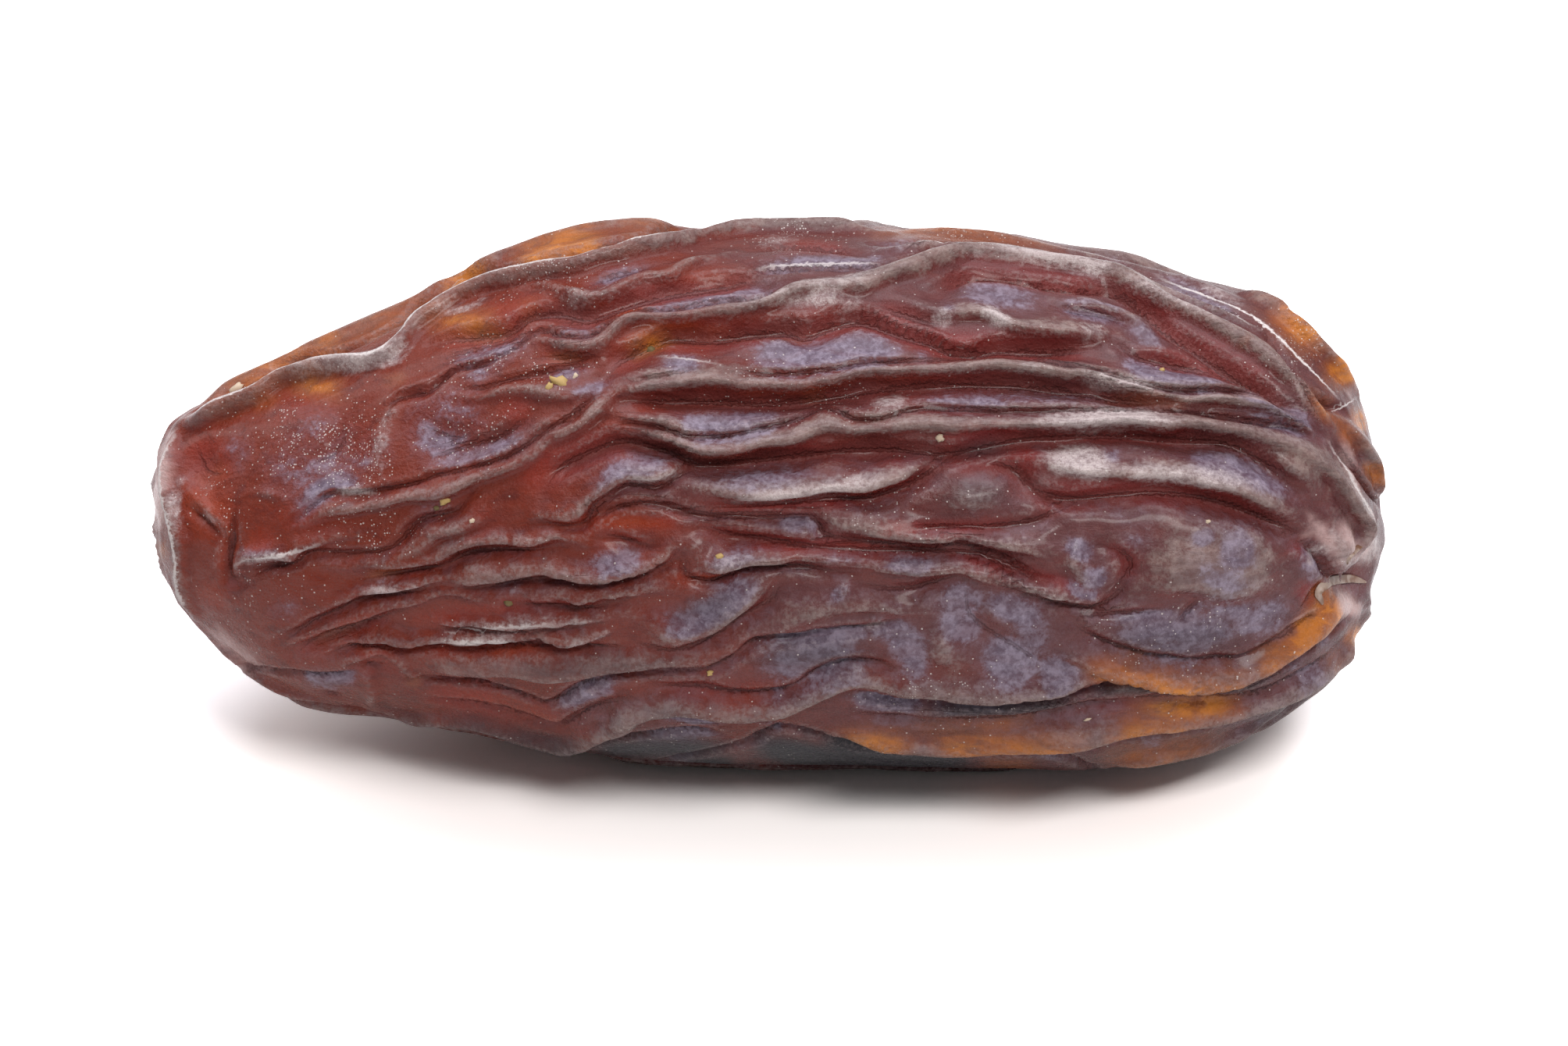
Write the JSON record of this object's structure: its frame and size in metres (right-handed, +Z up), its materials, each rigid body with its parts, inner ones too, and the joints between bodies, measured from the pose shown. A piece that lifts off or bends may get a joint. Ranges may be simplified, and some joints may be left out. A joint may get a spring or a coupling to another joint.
{
  "type": "medjool date",
  "caption": "Ripe dried date fruit with loose skin creased into long folds, lying on its side; dressing for food scenes, bowls and markets.",
  "frame": {"origin": "under the middle of the fruit's bounding box, on the surface that it rests on", "axes": "+X from the blunt tip to the stem scar, +Z up"},
  "size_m": [0.05, 0.0226, 0.0221],
  "materials": {
    "skin": "dark red-brown dried skin, satin, with pale sugar bloom on its crests"
  },
  "bodies": {
    "root": {"date": "skin"}
  },
  "joints": []
}
